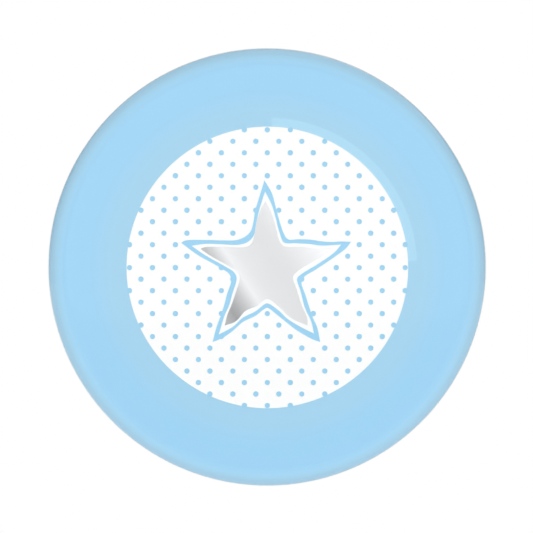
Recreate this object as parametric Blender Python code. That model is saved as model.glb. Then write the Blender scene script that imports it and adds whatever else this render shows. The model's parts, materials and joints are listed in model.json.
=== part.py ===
"""A round pin badge: a domed tinplate shell wrapped in printed paper and clear film,
closed by a pressed back plate that carries a swivelling safety pin.

Metres, +Z up as the badge is worn. The picture side faces -Y and the pin side +Y.
The origin is on the badge's axis, in the plane of the back plate's flat land.
"""

import math

import bmesh
import bpy
from mathutils import Vector

mm = 0.001

# The badge, front to back
badge_diameter = 58.0 * mm
dome_radius = 220.0 * mm          # the shallow crown of the picture side
edge_roll_radius = 3.0 * mm       # front edge, from the crown round to the side
back_curl_radius = 1.4 * mm       # the edge turned in behind, outside of the film
curl_stand_proud = 0.5 * mm       # how far the curl stands behind the land

# The wrapped layers, outside to inside
film_thickness = 0.05 * mm
foil_thickness = 0.03 * mm
paper_thickness = 0.12 * mm
shell_thickness = 0.25 * mm
foil_gap = 0.02 * mm              # foil to film, and foil to paper
layer_gap = 0.04 * mm             # paper to shell

# The back plate
plate_thickness = 0.25 * mm
recess_depth = 1.9 * mm           # land to recess floor
recess_radius = 20.8 * mm         # where the floor ends
recess_wall_run = 0.9 * mm        # the recess wall leans out by this much
plate_bend_radius = 0.45 * mm
curl_clearance = 0.30 * mm        # plate to the turned-in edge

# The safety pin
wire_diameter = 0.8 * mm
wire_gap = 0.05 * mm              # between the wire's lengths, where it flexes
coil_radius = 2.0 * mm            # to the middle of the wire
coil_centre_x = -16.8 * mm
spine_height = 5.0 * mm           # above the badge's axis
needle_lift = 0.15 * mm           # needle's underside above the land
needle_tip_x = 18.6 * mm
needle_taper = 5.0 * mm
taper_power = 1.5                 # above 1, the point keeps its wire's width for longer
taper_shares = (0.4, 0.75, 1.0)   # where along the taper its rings lie
tip_radius = 0.06 * mm
spine_end_x = 18.8 * mm

# The clasp at the pin's other end
clasp_thickness = 0.25 * mm
clasp_start_x = 14.2 * mm
clasp_end_x = 19.4 * mm
clasp_play = 0.10 * mm            # each side of the needle, in the clasp's mouth
clasp_lip = 0.70 * mm             # the mouth runs this far past the needle
clasp_bend_radius = 0.40 * mm

# The two bridges lanced out of the plate to hold the spine
bridge_spacing = 17.0 * mm
bridge_width = 3.2 * mm
bridge_thickness = 0.20 * mm      # stretched thinner than the plate
bridge_half_length = 2.0 * mm
bridge_root = 0.6 * mm            # how far each end runs on into the floor
bridge_flat = 1.7 * mm            # full width of the bridge's top
slit_width = 0.15 * mm
spine_play = 0.10 * mm            # round the spine, where it turns

coil_turns = 1.5

# How finely the curves are cut into flats
turned_sides = 40
crown_sag = 0.012 * mm            # a crown flat may lie this far inside the true curve
edge_steps = 4
curl_steps = 6
bend_steps = 3
bridge_bend_steps = 2
fold_steps = 8
wire_sides = 10
coil_steps = 36
star_rings = 4                    # rings that let the foil follow the crown
sharp_angle = math.radians(35)
weld_distance = 0.0002 * mm

# The foil star's outline, X right and Z up, in millimetres from the badge's axis
star_points = [
    (-0.2, 8.7), (0.7, 6.8), (1.25, 4.8), (1.65, 3.4), (2.2, 2.75), (4.8, 2.65), (6.4, 2.45),
    (8.7, 2.55), (7.8, 1.75), (6.4, 0.9), (4.1, -0.5), (3.4, -1.3), (3.9, -3.0), (4.55, -5.0),
    (5.3, -6.8), (5.35, -7.75), (3.2, -6.8), (1.6, -5.3), (0.0, -4.25), (-1.3, -5.15),
    (-2.9, -5.85), (-4.2, -7.1), (-5.6, -7.75), (-4.75, -5.3), (-4.2, -3.5), (-3.65, -1.3),
    (-4.05, -0.55), (-5.15, 0.15), (-7.6, 1.5), (-8.8, 2.4), (-8.2, 2.6), (-5.5, 2.6), (-2.75, 2.65),
    (-2.1, 3.1), (-1.7, 4.2), (-1.4, 5.9), (-0.9, 7.45),
]

# Depths of the layers' faces under the film's outer face
film_inside = film_thickness
foil_outside = film_inside + foil_gap
foil_inside = foil_outside + foil_thickness
paper_outside = foil_inside + foil_gap
paper_inside = paper_outside + paper_thickness
shell_outside = paper_inside + layer_gap
shell_inside = shell_outside + shell_thickness

# Centres of the two arcs that make the edge, and of the crown
badge_radius = badge_diameter / 2
edge_centre_r = badge_radius - edge_roll_radius
edge_centre_y = curl_stand_proud - back_curl_radius
curl_centre_r = badge_radius - back_curl_radius
crown_centre_y = edge_centre_y + math.sqrt((dome_radius - edge_roll_radius) ** 2 - edge_centre_r ** 2)
crown_angle = math.asin(edge_centre_r / (dome_radius - edge_roll_radius))
crown_steps = math.ceil(edge_centre_r / math.sqrt(8 * dome_radius * crown_sag))

# The pin's heights and places, built up from the recess floor
wire_radius = wire_diameter / 2
clasp_fold_radius = wire_radius + wire_gap + clasp_thickness / 2
floor_y = -recess_depth
needle_y = needle_lift + wire_radius
spine_y = floor_y + 2 * wire_gap + clasp_fold_radius + clasp_thickness / 2
coil_centre_z = spine_height - coil_radius
needle_z = coil_centre_z - coil_radius

steel = (0.62, 0.62, 0.63)


def clear_scene():
    for old in list(bpy.data.objects):
        bpy.data.objects.remove(old, do_unlink=True)


def plain_material(name, colour, roughness, metallic, alpha=1.0):
    material = bpy.data.materials.new(name)
    material.use_nodes = True
    shader = material.node_tree.nodes["Principled BSDF"]
    shader.inputs["Base Color"].default_value = (*colour, 1.0)
    shader.inputs["Roughness"].default_value = roughness
    shader.inputs["Metallic"].default_value = metallic
    shader.inputs["Alpha"].default_value = alpha
    return material


def finish_object(name, bm, material, at=(0, 0, 0), smooth=True):
    """Makes a node from bm, whose points are in world space, with its origin at the given place."""
    bmesh.ops.remove_doubles(bm, verts=bm.verts, dist=weld_distance)
    bmesh.ops.recalc_face_normals(bm, faces=bm.faces)
    bmesh.ops.translate(bm, verts=bm.verts, vec=-Vector(at))
    mesh = bpy.data.meshes.new(name)
    bm.to_mesh(mesh)
    bm.free()
    if smooth:
        mesh.shade_smooth()
        mesh.set_sharp_from_angle(angle=sharp_angle)
    made = bpy.data.objects.new(name, mesh)
    made.location = at
    bpy.context.collection.objects.link(made)
    if material:
        made.data.materials.append(material)
    return made


def turn(outline):
    """Spins an outline of (radius, y) points once round the Y axis."""
    bm = bmesh.new()
    verts = [bm.verts.new((r, y, 0)) for r, y in outline]
    edges = [bm.edges.new(pair) for pair in zip(verts, verts[1:])]
    bmesh.ops.spin(bm, geom=verts + edges, cent=(0, 0, 0), axis=(0, 1, 0),
                   angle=math.tau, steps=turned_sides, use_duplicate=False)
    bmesh.ops.remove_doubles(bm, verts=bm.verts, dist=weld_distance)
    return bm


def wrapped_face(depth):
    """Points (radius, y) of a face that lies depth under the film: crown, front edge, back curl."""
    points = []
    for step in range(crown_steps):
        angle = crown_angle * step / crown_steps
        radius = dome_radius - depth
        points.append((radius * math.sin(angle), crown_centre_y - radius * math.cos(angle)))
    for step in range(edge_steps + 1):
        angle = crown_angle + (math.pi / 2 - crown_angle) * step / edge_steps
        radius = edge_roll_radius - depth
        points.append((edge_centre_r + radius * math.sin(angle), edge_centre_y - radius * math.cos(angle)))
    for step in range(1, curl_steps + 1):
        angle = math.pi * step / curl_steps
        radius = back_curl_radius - depth
        points.append((curl_centre_r + radius * math.cos(angle), edge_centre_y + radius * math.sin(angle)))
    return points


def wrapped_layer(name, outside, inside, material):
    outline = wrapped_face(outside) + wrapped_face(inside)[::-1]
    return finish_object(name, turn(outline), material)


def bend_path(corners, radius, steps=bend_steps):
    """Replaces a path's inner corners by arcs that touch both legs."""
    path = [Vector(corners[0])]
    for before, corner, after in zip(corners, corners[1:], corners[2:]):
        corner = Vector(corner)
        into = (corner - Vector(before)).normalized()
        out = (Vector(after) - corner).normalized()
        turn_angle = into.angle(out)
        setback = radius * math.tan(turn_angle / 2)
        side = 1 if into.cross(out) > 0 else -1
        centre = corner - into * setback + side * radius * Vector((-into.y, into.x))
        spoke = corner - into * setback - centre
        for step in range(steps + 1):
            swing = side * turn_angle * step / steps
            path.append(centre + Vector((spoke.x * math.cos(swing) - spoke.y * math.sin(swing),
                                         spoke.x * math.sin(swing) + spoke.y * math.cos(swing))))
    path.append(Vector(corners[-1]))
    return path


def sheet_outline(path, thickness):
    """Both faces of a sheet whose middle follows the path, as one open outline."""
    left = []
    right = []
    for index, point in enumerate(path):
        into = (point - path[index - 1]).normalized() if index else None
        out = (path[index + 1] - point).normalized() if index + 1 < len(path) else None
        into = into or out
        out = out or into
        along = (into + out).normalized()
        reach = thickness / 2 / along.dot(into)
        across = Vector((-along.y, along.x)) * reach
        left.append(point + across)
        right.append(point - across)
    return left + right[::-1]


def extrude_outline(outline, vector):
    """A solid from a closed outline of 3-D points, extruded along vector."""
    bm = bmesh.new()
    face = bm.faces.new([bm.verts.new(point) for point in outline])
    grown = bmesh.ops.extrude_face_region(bm, geom=[face])
    bmesh.ops.translate(bm, verts=[v for v in grown["geom"] if isinstance(v, bmesh.types.BMVert)], vec=vector)
    return bm


def sweep_wire(places, radii, end_directions=None):
    """A closed round bar through the given places; the frame stays square to the Y axis."""
    bm = bmesh.new()
    rings = []
    for index, place in enumerate(places):
        before = places[max(index - 1, 0)]
        after = places[min(index + 1, len(places) - 1)]
        along = (after - before).normalized()
        if end_directions and index == 0:
            along = end_directions[0]
        if end_directions and index == len(places) - 1:
            along = end_directions[1]
        across = along.cross(Vector((0, 1, 0))).normalized()
        upward = across.cross(along)
        ring = []
        for side in range(wire_sides):
            angle = math.tau * side / wire_sides
            ring.append(bm.verts.new(place + radii[index] * (across * math.cos(angle) + upward * math.sin(angle))))
        rings.append(ring)
    for ring, following in zip(rings, rings[1:]):
        for side in range(wire_sides):
            bm.faces.new((ring[side], ring[side - 1], following[side - 1], following[side]))
    bm.faces.new(rings[0])
    bm.faces.new(rings[-1][::-1])
    return bm


def crown_y(x, z, depth):
    """Height of the face that lies depth under the film, on the crown."""
    return crown_centre_y - math.sqrt((dome_radius - depth) ** 2 - x * x - z * z)


def make_foil_star(material):
    """A star sheet in rings about its middle, so that it follows the crown."""
    bm = bmesh.new()
    faces = []
    for depth in (foil_outside, foil_inside):
        middle = bm.verts.new((0, crown_y(0, 0, depth), 0))
        rings = []
        for step in range(1, star_rings + 1):
            share = step / star_rings * mm
            rings.append([bm.verts.new((x * share, crown_y(x * share, z * share, depth), z * share))
                          for x, z in star_points])
        for index in range(len(star_points)):
            bm.faces.new((middle, rings[0][index - 1], rings[0][index]))
            for inner, outer in zip(rings, rings[1:]):
                bm.faces.new((inner[index - 1], outer[index - 1], outer[index], inner[index]))
        faces.append(rings[-1])
    front, back = faces
    for index in range(len(star_points)):
        bm.faces.new((front[index - 1], back[index - 1], back[index], front[index]))
    return finish_object("foil_star", bm, material, smooth=False)


def helper_solid(name, bm):
    """A cutter or an added strip: it shapes the plate and isn't a piece itself."""
    helper = finish_object(name, bm, None, smooth=False)
    helper.hide_render = True
    helper.display_type = "WIRE"
    return helper


def add_boolean(target, helper, operation):
    modifier = target.modifiers.new(helper.name, "BOOLEAN")
    modifier.operation = operation
    modifier.object = helper
    modifier.solver = "EXACT"


def make_back_plate(material):
    middle_floor = floor_y - plate_thickness / 2
    middle_land = -plate_thickness / 2
    wall_r = curl_centre_r - back_curl_radius - curl_clearance - plate_thickness / 2
    flange_y = edge_centre_y - curl_clearance - plate_thickness / 2
    flange_r = badge_radius - shell_inside - curl_clearance
    corners = [
        (0, middle_floor),
        (recess_radius, middle_floor),
        (recess_radius + recess_wall_run, middle_land),
        (wall_r, middle_land),
        (wall_r, flange_y),
        (flange_r, flange_y),
    ]
    path = bend_path(corners, plate_bend_radius)
    plate = finish_object("back_plate", turn(sheet_outline(path, plate_thickness)), material)
    for side, label in ((-1, "left"), (1, "right")):
        centre_x = side * bridge_spacing / 2
        add_boolean(plate, bridge_slot(f"{label}_slot", centre_x), "DIFFERENCE")
        add_boolean(plate, bridge_strip(f"{label}_bridge", centre_x), "UNION")
    return plate


def bridge_slot(name, centre_x):
    half_width = bridge_width / 2 + slit_width
    low_z = spine_height - bridge_half_length
    high_z = spine_height + bridge_half_length
    y = floor_y - 2 * plate_thickness
    outline = [
        Vector((centre_x - half_width, y, low_z)),
        Vector((centre_x + half_width, y, low_z)),
        Vector((centre_x + half_width, y, high_z)),
        Vector((centre_x - half_width, y, high_z)),
    ]
    return helper_solid(name, extrude_outline(outline, (0, 3 * plate_thickness, 0)))


def bridge_strip(name, centre_x):
    middle_floor = floor_y - plate_thickness / 2
    middle_top = spine_y + wire_radius + spine_play + bridge_thickness / 2
    foot = bridge_half_length + bridge_root
    knee = bridge_half_length - 2 * slit_width
    half_top = bridge_flat / 2
    corners = [
        (spine_height - foot, middle_floor),
        (spine_height - knee, middle_floor),
        (spine_height - half_top, middle_top),
        (spine_height + half_top, middle_top),
        (spine_height + knee, middle_floor),
        (spine_height + foot, middle_floor),
    ]
    section = sheet_outline(bend_path(corners, bridge_thickness, bridge_bend_steps), bridge_thickness)
    start_x = centre_x - bridge_width / 2
    outline = [Vector((start_x, y, z)) for z, y in section]
    return helper_solid(name, extrude_outline(outline, (bridge_width, 0, 0)))


def make_pin_spine(material, pin_frame):
    places = [Vector((x, spine_y, spine_height)) for x in (coil_centre_x + wire_gap, spine_end_x)]
    spine = finish_object("pin_spine", sweep_wire(places, [wire_radius] * 2), material,
                          at=(0, spine_y, spine_height))
    parent_in_place(spine, pin_frame)


def make_spring_coil(material, pin_frame):
    places = []
    for step in range(coil_steps + 1):
        share = step / coil_steps
        angle = math.pi / 2 + math.tau * coil_turns * share
        rise = share * share * (3 - 2 * share)
        places.append(Vector((coil_centre_x + coil_radius * math.cos(angle),
                              spine_y + (needle_y - spine_y) * rise,
                              coil_centre_z + coil_radius * math.sin(angle))))
    end_directions = (Vector((-1, 0, 0)), Vector((1, 0, 0)))    # so that both end faces stand square to X
    bm = sweep_wire(places, [wire_radius] * len(places), end_directions)
    coil = finish_object("spring_coil", bm, material, at=(coil_centre_x, spine_y, coil_centre_z))
    parent_in_place(coil, pin_frame)


def make_pin_needle(material, needle_pivot):
    taper_start = needle_tip_x - needle_taper
    xs = [coil_centre_x + wire_gap, taper_start]
    radii = [wire_radius, wire_radius]
    for share in taper_shares:
        xs.append(taper_start + needle_taper * share)
        radii.append(wire_radius + (tip_radius - wire_radius) * share ** taper_power)
    places = [Vector((x, needle_y, needle_z)) for x in xs]
    needle = finish_object("pin_needle", sweep_wire(places, radii), material,
                           at=(coil_centre_x, needle_y, coil_centre_z))
    parent_in_place(needle, needle_pivot)


def tangent_angle(point, centre, radius, side):
    """Angle at which a line from the point touches the circle, on the chosen side."""
    away = point - centre
    return math.atan2(away.y, away.x) + side * math.acos(radius / away.length)


def make_pin_clasp(material, pin_frame):
    """Sheet folded over the spine, with two cheeks whose mouth lets the needle out downwards."""
    half_mouth = wire_radius + clasp_play + clasp_thickness / 2
    fold = Vector((spine_y, spine_height))
    front_knee = Vector((needle_y - half_mouth, needle_z + 2 * half_mouth))
    back_knee = Vector((needle_y + half_mouth, needle_z + 3 * half_mouth))
    start = tangent_angle(front_knee, fold, clasp_fold_radius, -1)
    end = tangent_angle(back_knee, fold, clasp_fold_radius, 1)
    while start > end:
        start -= math.tau
    start += math.tau
    front_mouth = Vector((front_knee.x, needle_z - clasp_lip))
    back_mouth = Vector((back_knee.x, needle_z - clasp_lip))
    front = bend_path([front_mouth, front_knee, fold + clasp_fold_radius * unit(start)], clasp_bend_radius)
    back = bend_path([fold + clasp_fold_radius * unit(end), back_knee, back_mouth], clasp_bend_radius)
    swing = (end - start) / fold_steps
    over = [fold + clasp_fold_radius * unit(start + swing * step) for step in range(1, fold_steps)]
    section = sheet_outline(front + over + back, clasp_thickness)
    outline = [Vector((clasp_start_x, y, z)) for y, z in section]
    bm = extrude_outline(outline, (clasp_end_x - clasp_start_x, 0, 0))
    clasp = finish_object("pin_clasp", bm, material, at=(clasp_start_x, spine_y, spine_height))
    parent_in_place(clasp, pin_frame)


def unit(angle):
    return Vector((math.cos(angle), math.sin(angle)))


def make_pivot(name, place, parent=None):
    pivot = bpy.data.objects.new(name, None)
    pivot.empty_display_size = 3 * mm
    bpy.context.collection.objects.link(pivot)
    pivot.location = place
    if parent:
        parent_in_place(pivot, parent)
    return pivot


def parent_in_place(child, parent):
    """Keeps the child's world place: parents here are only ever moved, never turned."""
    child.parent = parent
    place = Vector((0, 0, 0))
    while parent:
        place += parent.location
        parent = parent.parent
    child.location = child.location - place


def build_badge():
    clear_scene()
    film = plain_material("clear_film", (0.95, 0.97, 0.98), 0.06, 0.0, alpha=0.25)
    paper = plain_material("printed_paper", (0.38, 0.69, 0.93), 0.5, 0.0)
    foil = plain_material("silver_foil", (0.78, 0.78, 0.80), 0.25, 1.0)
    tinplate = plain_material("tinplate_shell", steel, 0.35, 1.0)
    back_tin = plain_material("tinplate_back", steel, 0.3, 1.0)
    spine_wire = plain_material("spine_wire", steel, 0.2, 1.0)
    coil_wire = plain_material("coil_wire", steel, 0.2, 1.0)
    needle_wire = plain_material("needle_wire", steel, 0.15, 1.0)
    clasp_sheet = plain_material("clasp_sheet", steel, 0.25, 1.0)

    wrapped_layer("clear_film", 0, film_inside, film)
    wrapped_layer("printed_paper", paper_outside, paper_inside, paper)
    wrapped_layer("front_shell", shell_outside, shell_inside, tinplate)
    make_foil_star(foil)
    make_back_plate(back_tin)

    pin_frame = make_pivot("spine_axis", (0, spine_y, spine_height))
    needle_pivot = make_pivot("coil_axis", (coil_centre_x, needle_y, coil_centre_z), pin_frame)
    make_pin_spine(spine_wire, pin_frame)
    make_spring_coil(coil_wire, pin_frame)
    make_pin_clasp(clasp_sheet, pin_frame)
    make_pin_needle(needle_wire, needle_pivot)


build_badge()
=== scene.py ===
import json
import math

import bmesh
import bpy
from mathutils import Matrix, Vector

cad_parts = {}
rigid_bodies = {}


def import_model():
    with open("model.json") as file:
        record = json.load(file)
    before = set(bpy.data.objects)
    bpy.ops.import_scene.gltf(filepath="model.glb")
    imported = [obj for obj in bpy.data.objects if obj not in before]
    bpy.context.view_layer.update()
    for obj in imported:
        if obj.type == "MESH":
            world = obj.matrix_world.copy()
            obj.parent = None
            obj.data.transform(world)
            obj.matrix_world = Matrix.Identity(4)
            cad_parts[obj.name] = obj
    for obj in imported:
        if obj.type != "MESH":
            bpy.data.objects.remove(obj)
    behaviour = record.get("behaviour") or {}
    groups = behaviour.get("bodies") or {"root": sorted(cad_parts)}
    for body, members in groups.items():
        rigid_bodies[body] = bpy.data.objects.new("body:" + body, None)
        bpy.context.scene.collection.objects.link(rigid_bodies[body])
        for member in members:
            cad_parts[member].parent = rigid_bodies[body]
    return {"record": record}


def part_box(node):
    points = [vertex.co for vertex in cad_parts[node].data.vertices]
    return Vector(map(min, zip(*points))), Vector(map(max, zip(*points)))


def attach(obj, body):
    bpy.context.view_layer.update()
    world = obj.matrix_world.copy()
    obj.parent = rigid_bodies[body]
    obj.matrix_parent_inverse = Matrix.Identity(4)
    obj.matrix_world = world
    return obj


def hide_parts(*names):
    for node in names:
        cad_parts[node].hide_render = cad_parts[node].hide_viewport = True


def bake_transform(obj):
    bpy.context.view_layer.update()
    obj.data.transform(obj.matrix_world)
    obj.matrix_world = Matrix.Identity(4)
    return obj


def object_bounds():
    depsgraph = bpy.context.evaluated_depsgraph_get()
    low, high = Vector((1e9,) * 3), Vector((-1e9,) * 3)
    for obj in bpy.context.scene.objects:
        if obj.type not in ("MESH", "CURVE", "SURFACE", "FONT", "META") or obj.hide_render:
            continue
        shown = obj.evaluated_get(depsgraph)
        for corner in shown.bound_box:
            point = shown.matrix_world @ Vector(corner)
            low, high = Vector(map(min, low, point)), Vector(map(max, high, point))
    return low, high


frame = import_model()
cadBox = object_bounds()
mm = 0.001


def srgb(red, green, blue):
    # screen values from 0 to 255, as linear colour
    linear = []
    for value in (red, green, blue):
        share = value / 255
        linear.append(share / 12.92 if share <= 0.04045 else ((share + 0.055) / 1.055) ** 2.4)
    return (*linear, 1)


def dimmed(colour, share):
    return (*(share * part for part in colour[:3]), 1)


def grey(value):
    return (value, value, value, 1)


def unit(angle):
    return Vector((math.cos(angle), math.sin(angle)))


def addObject(name, data):
    made = bpy.data.objects.new(name, data)
    bpy.context.collection.objects.link(made)
    return made


# Node trees: short calls that materials, the world and Geometry Nodes share

class Tree:
    # each kind below sets its own tree
    def node(self, kind, feeds=None, **settings):
        made = self.tree.nodes.new(kind)
        for key, value in settings.items():
            setattr(made, key, value)
        for key, value in (feeds or {}).items():
            if isinstance(value, bpy.types.NodeSocket):
                self.tree.links.new(value, made.inputs[key])
            else:
                made.inputs[key].default_value = value
        return made

    def math(self, operation, first, second=0.0):
        return self.node("ShaderNodeMath", {0: first, 1: second}, operation=operation).outputs[0]

    def spread(self, value, low, high, toLow=0.0, toHigh=1.0, shape="LINEAR"):
        feeds = {"Value": value, "From Min": low, "From Max": high,
                 "To Min": toLow, "To Max": toHigh}
        return self.node("ShaderNodeMapRange", feeds, interpolation_type=shape).outputs["Result"]

    def ease(self, value, low, high, toLow=0.0, toHigh=1.0):
        return self.spread(value, low, high, toLow, toHigh, "SMOOTHSTEP")

    def parts(self, vector):
        return self.node("ShaderNodeSeparateXYZ", {0: vector}).outputs

    def vector(self, x=0.0, y=0.0, z=0.0):
        return self.node("ShaderNodeCombineXYZ", {0: x, 1: y, 2: z}).outputs[0]

    def vectorMath(self, operation, *values):
        feeds = dict(enumerate(values))
        return self.node("ShaderNodeVectorMath", feeds, operation=operation).outputs


# Materials: one helper for the nodes, then one function for each finish

noiseRange = (0.3, 0.7)  # nearly all of a noise lies between these


class Shading(Tree):
    def __init__(self, owner, outKind="ShaderNodeOutputMaterial"):
        self.owner = owner
        owner.use_nodes = True
        self.tree = owner.node_tree
        self.tree.nodes.clear()
        self.out = self.node(outKind)

    def place(self, scale=(1, 1, 1), turn=(0, 0, 0)):
        # object coordinates in millimetres, stretched and turned
        coords = self.node("ShaderNodeTexCoord").outputs["Object"]
        feeds = {"Vector": coords, "Scale": [share / mm for share in scale], "Rotation": turn}
        return self.node("ShaderNodeMapping", feeds).outputs["Vector"]

    def noise(self, where, scale, detail, roughness=0.55):
        feeds = {"Vector": where, "Scale": scale, "Detail": detail, "Roughness": roughness}
        return self.node("ShaderNodeTexNoise", feeds).outputs["Fac"]

    def clouds(self, where, grain, low=0.0, high=1.0):
        return self.spread(self.noise(where, *grain), *noiseRange, low, high)

    def blend(self, share, first, second):
        # 6, 7 and the output 2 are a mix node's colours
        feeds = {0: share, 6: first, 7: second}
        return self.node("ShaderNodeMix", feeds, data_type="RGBA").outputs[2]

    def stain(self, pattern, share, under, over):
        return self.blend(self.math("MULTIPLY", pattern, share), under, over)

    def ramp(self, value, stops, shape="LINEAR"):
        made = self.node("ShaderNodeValToRGB", {"Fac": value})
        made.color_ramp.interpolation = shape
        elements = made.color_ramp.elements
        while len(elements) < len(stops):
            elements.new(0.5)
        for element, (place, colour) in zip(elements, stops):
            element.position = place
            element.color = colour
        return made.outputs["Color"]

    def bump(self, height, strength, distance):
        feeds = {"Height": height, "Strength": strength, "Distance": distance}
        return self.node("ShaderNodeBump", feeds).outputs["Normal"]

    def flat(self, where, middle=(0, 0)):
        # the place as seen along Y, from an axis through middle
        return self.vectorMath("MULTIPLY_ADD", where, (1, 0, 1), (-middle[0], 0, -middle[1]))[0]

    def principled(self, colour, roughness, normal=None, **fixed):
        feeds = {"Base Color": colour, "Roughness": roughness}
        if normal is not None:
            feeds["Normal"] = normal
        for name, value in fixed.items():
            feeds[name.replace("_", " ")] = value
        return self.finish(self.node("ShaderNodeBsdfPrincipled", feeds))

    def finish(self, shader):
        self.tree.links.new(shader.outputs[0], self.out.inputs["Surface"])
        return self.owner


def newMaterial(name):
    return Shading(bpy.data.materials.new(name))


artwork = {
    "lineBlue": srgb(152.5, 210.5, 241),
    "linePaler": srgb(158, 214, 244),
    "dotBlue": srgb(152, 207.5, 237),
    "dotPaler": srgb(159, 211, 239),
    "discWhite": srgb(255, 254.5, 252.5),
    "borderPaler": srgb(249, 250, 250),
    "discRadius": 18.64,  # mm, where the white disc meets the blue ring
    "discMiddle": (0.027, -0.041),  # the print sits a little off the badge's axis
    "inkEdge": 0.035,  # mm, softness of a printed edge
    "ringSpan": 10.0,  # mm outwards from the disc, for the ring's tones; the outer stops also hold painted rim shading
    # the ring's printed blue by distance from the disc; the last stops, on the rounded edge, paint
    # a brighter band and then a greyer, darker rim as painted light and shade
    "ringTonesAndRimShading": [(0.0, srgb(168, 213, 237.5)), (0.21, srgb(168, 213.6, 238.5)),
                  (0.36, srgb(164.5, 214, 242)), (0.51, srgb(161, 213.8, 244)),
                  (0.80, srgb(162, 214, 245)), (0.886, srgb(169.5, 218.5, 246)),
                  (0.93, srgb(171, 216.5, 241)), (0.97, srgb(169, 211, 234))],
    "highlightArcWidth": 1.2,  # mm, a painted highlight: a paler arc beside the disc, upper right, standing in for a gloss reflection on the film
    "highlightArcFade": 0.08,
    "highlightArcRight": (0.5, 0.7),  # mm, where its ends fade in, along X and Z
    "highlightArcUp": (0.7, 0.9),
    "highlightArcBlue": srgb(178, 222, 244),
    "dotDiameter": 0.71,
    "dotMiddle": (0.024, -0.073),
    "dotPitch": 1.5215,  # mm, along X and Z, every other place empty
}
printLook = {
    "broad": (1.6, 5),  # scale per mm and detail of the ink's unevenness
    "fine": (14, 2),
    "tooth": (9, 6, 0.7),  # scale, detail and roughness of the paper's relief
    "relief": (0.06, 0.02 * mm),
    "broadBlue": srgb(172, 222, 248),
    "fineBlue": srgb(152, 208, 243),
    "ringShare": 0.08,
    "fineWhite": srgb(250, 251, 248),
    "whiteShare": 0.12,
    "roughness": (0.42, 0.52),
    "lineBroadShare": 0.22,  # for the star's line and the dots
    "lineFineShare": 0.12,
    "lineDark": 0.9,
    "lineRoughness": 0.4,
}
creases = {
    "height": (-0.6, 0.4),  # mm along Y over which they begin
    "grain": (26, 3),  # scale round the edge and detail
    "contrast": (0.40, 0.60),
    # painted shade: a darker blue laid on the paper along the creases, and how much of it
    "blue": srgb(118, 172, 212),
    "share": 0.4,
    "filmShare": 0.9,
}


def creaseReliefAndShade(shade, where):
    # radial creases, from 0 to 1, only where the edge turns in behind; they drive the film's relief
    # and the painted shade on the paper
    spoke = shade.vectorMath("NORMALIZE", shade.flat(where))[0]
    turnedIn = shade.ease(shade.parts(where)["Y"], *creases["height"])
    crease = shade.spread(shade.noise(spoke, *creases["grain"]), *creases["contrast"])
    return shade.math("MULTIPLY", turnedIn, crease)


def inkedPaper():
    # white disc in a blue ring, on coated paper, with painted light: a painted highlight as a paler
    # arc beside the disc, painted rim shading in the ring's outer tones and painted shade along the
    # creases behind
    shade = newMaterial("inkedPaper")
    where = shade.place()
    edge = artwork["discRadius"]
    soft = artwork["inkEdge"]
    radius = shade.vectorMath("LENGTH", shade.flat(where, artwork["discMiddle"]))["Value"]
    ring = shade.ease(radius, edge - soft, edge + soft)
    broad = shade.clouds(where, printLook["broad"])
    fine = shade.clouds(where, printLook["fine"])
    outwards = shade.spread(radius, edge, edge + artwork["ringSpan"])
    # the ring's blue, with painted rim shading in its outer stops
    ink = shade.ramp(outwards, artwork["ringTonesAndRimShading"])
    parts = shade.parts(where)
    # painted highlight: a paler arc of ring blue beside the disc, upper right, in place of a gloss
    # reflection on the film
    highlightQuarter = shade.math("MULTIPLY", shade.spread(parts["X"], *artwork["highlightArcRight"]),
                         shade.spread(parts["Z"], *artwork["highlightArcUp"]))
    end = edge + artwork["highlightArcWidth"]
    fade = artwork["highlightArcFade"]
    highlightArc = shade.math("MULTIPLY", highlightQuarter, shade.spread(radius, end - fade, end + fade, 1, 0))
    ink = shade.blend(highlightArc, ink, artwork["highlightArcBlue"])
    ink = shade.stain(broad, printLook["ringShare"], ink, printLook["broadBlue"])
    ink = shade.stain(fine, printLook["ringShare"], ink, printLook["fineBlue"])
    white = shade.stain(fine, printLook["whiteShare"], artwork["discWhite"], printLook["fineWhite"])
    colour = shade.blend(ring, white, ink)
    # painted shade: the ink darkened along the edge's creases, as shadow in their folds
    colour = shade.stain(creaseReliefAndShade(shade, where), creases["share"], colour, creases["blue"])
    rough = shade.spread(broad, 0, 1, *printLook["roughness"])
    tooth = shade.bump(shade.noise(where, *printLook["tooth"]), *printLook["relief"])
    return shade.principled(colour, rough, tooth, Specular_IOR_Level=0.0)


def printedInk(name, colour, paler):
    # solid ink with the slight mottle of a screened print
    shade = newMaterial(name)
    where = shade.place()
    broad = shade.clouds(where, printLook["broad"], 0, printLook["lineBroadShare"])
    fine = shade.clouds(where, printLook["fine"], 0, printLook["lineFineShare"])
    tint = shade.blend(broad, colour, paler)
    tint = shade.blend(fine, tint, dimmed(colour, printLook["lineDark"]))
    tooth = shade.bump(shade.noise(where, *printLook["tooth"]), *printLook["relief"])
    return shade.principled(tint, printLook["lineRoughness"], tooth)


backLook = {
    "stretch": (1, 1, 0.35),
    "fibre": (5, 7, 0.7),
    "tones": [(0.3, srgb(226, 222, 212)), (0.7, srgb(243, 240, 233))],
    "tooth": (12, 6),
    "relief": (0.3, 0.03 * mm),
    "roughness": 0.85,
}


def plainPaper():
    # the paper's unprinted side
    shade = newMaterial("plainPaper")
    fibre = shade.noise(shade.place(backLook["stretch"]), *backLook["fibre"])
    tooth = shade.bump(shade.noise(shade.place(), *backLook["tooth"]), *backLook["relief"])
    return shade.principled(shade.ramp(fibre, backLook["tones"]), backLook["roughness"], tooth)


filmLook = {
    "tint": (0.995, 0.998, 1, 1),
    "roughness": 0.07,
    "waves": (0.35, 2),  # scale per mm and detail of its slight waviness
    "waveShare": 0.25,
    "relief": (1.0, 0.06 * mm),
    "bending": 1.5,  # index of refraction, for the strength of its shine
    "mostShine": 0.3,
}


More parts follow.
